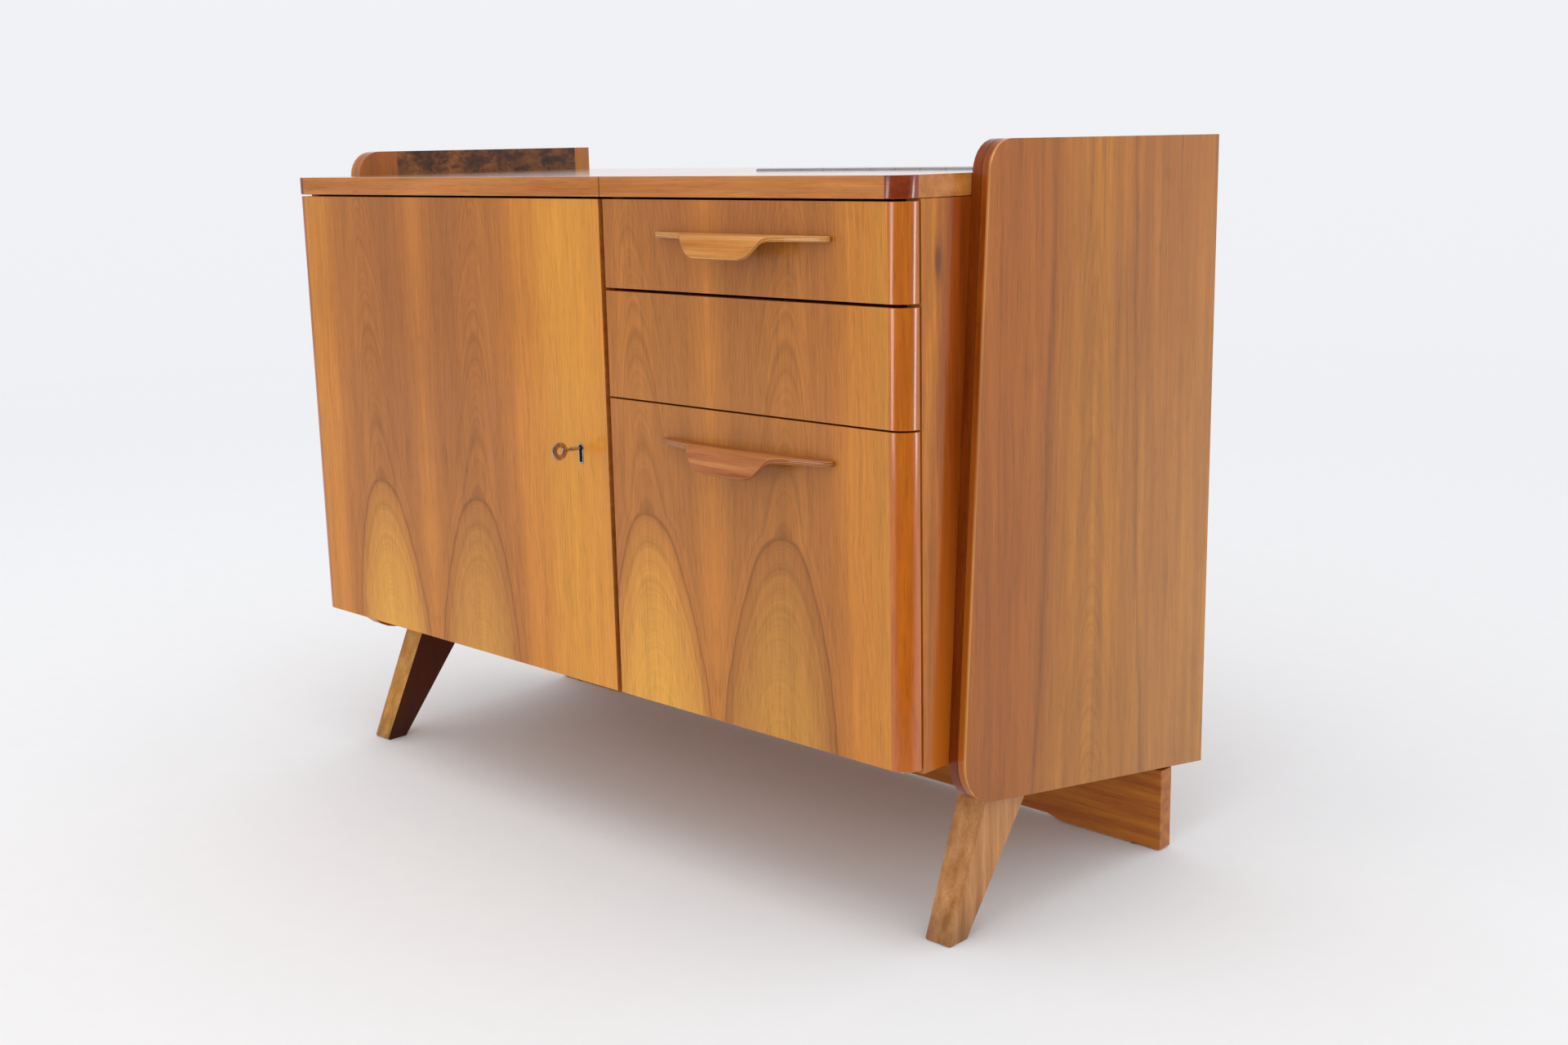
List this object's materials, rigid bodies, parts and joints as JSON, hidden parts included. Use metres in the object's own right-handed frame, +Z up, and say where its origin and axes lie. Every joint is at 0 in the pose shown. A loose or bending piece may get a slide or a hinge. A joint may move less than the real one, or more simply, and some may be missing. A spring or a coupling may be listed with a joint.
{
  "type": "media cabinet",
  "caption": "Walnut-veneered low cabinet on splayed legs, with a lockable door, drawers, a drop flap and a lift-up lid between raised leaning side panels.",
  "frame": {"origin": "on the floor under the middle of the cabinet's bounding box, handles included", "axes": "+X to the right along the front as seen from the front, +Y to the rear, +Z up"},
  "size_m": [1.2, 0.6114, 0.9],
  "materials": {
    "walnut_veneer": "clear lacquered walnut veneer",
    "walnut_top": "glossy lacquered walnut veneer",
    "stained_board": "stained satin board",
    "plain_beech": "plain sanded beech and ply",
    "stained_beech": "stained and lacquered solid beech",
    "handle_ply": "lacquered bent plywood",
    "nickel_steel": "nickel-plated steel",
    "black_rubber": "matt black rubber"
  },
  "bodies": {
    "cabinet": {"back_panel": "plain_beech", "body_side_left": "walnut_veneer", "body_side_right": "walnut_veneer", "bottom_board": "stained_board", "catch_body": "nickel_steel", "centre_divider": "stained_board", "deck_board": "stained_board", "door_hinge_fixed_leaf": "nickel_steel", "door_hinge_pin": "nickel_steel", "drawer_lower_runner_left": "plain_beech", "drawer_lower_runner_right": "plain_beech", "drawer_upper_runner_left": "plain_beech", "drawer_upper_runner_right": "plain_beech", "flap_hinge_fixed_leaf": "nickel_steel", "flap_hinge_pin": "nickel_steel", "glide_rear_left": "black_rubber", "glide_rear_right": "black_rubber", "leg_front_left": "stained_beech", "leg_front_right": "stained_beech", "lid_hinge_fixed_leaf": "nickel_steel", "lid_hinge_pin": "nickel_steel", "lid_rail": "stained_board", "rear_leg_board": "stained_beech", "shelf": "stained_board", "shelf_cleat_left": "plain_beech", "shelf_cleat_right": "plain_beech", "side_panel_left_inner": "walnut_veneer", "side_panel_left_outer": "walnut_veneer", "side_panel_right_inner": "walnut_veneer", "side_panel_right_outer": "walnut_veneer", "stay_stud": "nickel_steel", "strike_plate": "nickel_steel", "top_board": "walnut_top"},
    "lid": {"lid": "walnut_top", "lid_hinge_moving_leaf": "nickel_steel"},
    "door": {"door": "walnut_veneer", "door_hinge_moving_leaf": "nickel_steel", "keyhole_liner": "nickel_steel", "lock_case": "nickel_steel"},
    "bolt": {"lock_bolt": "nickel_steel"},
    "key": {"key": "nickel_steel"},
    "drawer_upper": {"drawer_upper_front": "walnut_veneer", "drawer_upper_bottom": "plain_beech", "drawer_upper_side_left": "plain_beech", "drawer_upper_side_right": "plain_beech", "drawer_upper_back": "plain_beech", "handle_drawer": "handle_ply"},
    "drawer_lower": {"drawer_lower_front": "walnut_veneer", "drawer_lower_bottom": "plain_beech", "drawer_lower_side_left": "plain_beech", "drawer_lower_side_right": "plain_beech", "drawer_lower_back": "plain_beech"},
    "flap": {"flap": "walnut_veneer", "handle_flap": "handle_ply", "flap_hinge_moving_leaf": "nickel_steel", "catch_plate": "nickel_steel", "stay_bracket": "nickel_steel"},
    "stay_arm": {"stay_arm": "nickel_steel"}
  },
  "joints": [
    {"name": "door_hinge", "type": "hinge", "parent": "cabinet", "child": "door", "pos_m": [-0.5785, -0.23535, 0.2265], "axis": [0, 0, -1], "range_deg": [0, 170]},
    {"name": "key_turn", "type": "hinge", "parent": "door", "child": "key", "pos_m": [0.046, -0.2603, 0.53275], "axis": [0, 1, 0], "range_deg": [0, 360]},
    {"name": "bolt_slide", "type": "slide", "parent": "door", "child": "bolt", "axis": [1, 0, 0], "range_m": [0, 0.008]},
    {"name": "lid_hinge", "type": "hinge", "parent": "cabinet", "child": "lid", "pos_m": [0.1025, 0.0057, 0.8655], "axis": [-1, 0, 0], "range_deg": [0, 178]},
    {"name": "drawer_upper_slide", "type": "slide", "parent": "cabinet", "child": "drawer_upper", "axis": [0, -1, 0], "range_m": [0, 0.3]},
    {"name": "drawer_lower_slide", "type": "slide", "parent": "cabinet", "child": "drawer_lower", "axis": [0, -1, 0], "range_m": [0, 0.3]},
    {"name": "flap_hinge", "type": "hinge", "parent": "cabinet", "child": "flap", "pos_m": [0.1025, -0.23535, 0.2182], "axis": [1, 0, 0], "range_deg": [0, 90]},
    {"name": "stay_turn", "type": "hinge", "parent": "flap", "child": "stay_arm", "pos_m": [0.5525, -0.22335, 0.3442], "axis": [1, 0, 0], "range_deg": [-46, 0]}
  ],
  "couplings": [
    {"joint": "key_turn", "follows": "bolt_slide", "rad_per_m": 785},
    {"joint": "stay_turn", "follows": "flap_hinge", "ratio": -0.5}
  ]
}
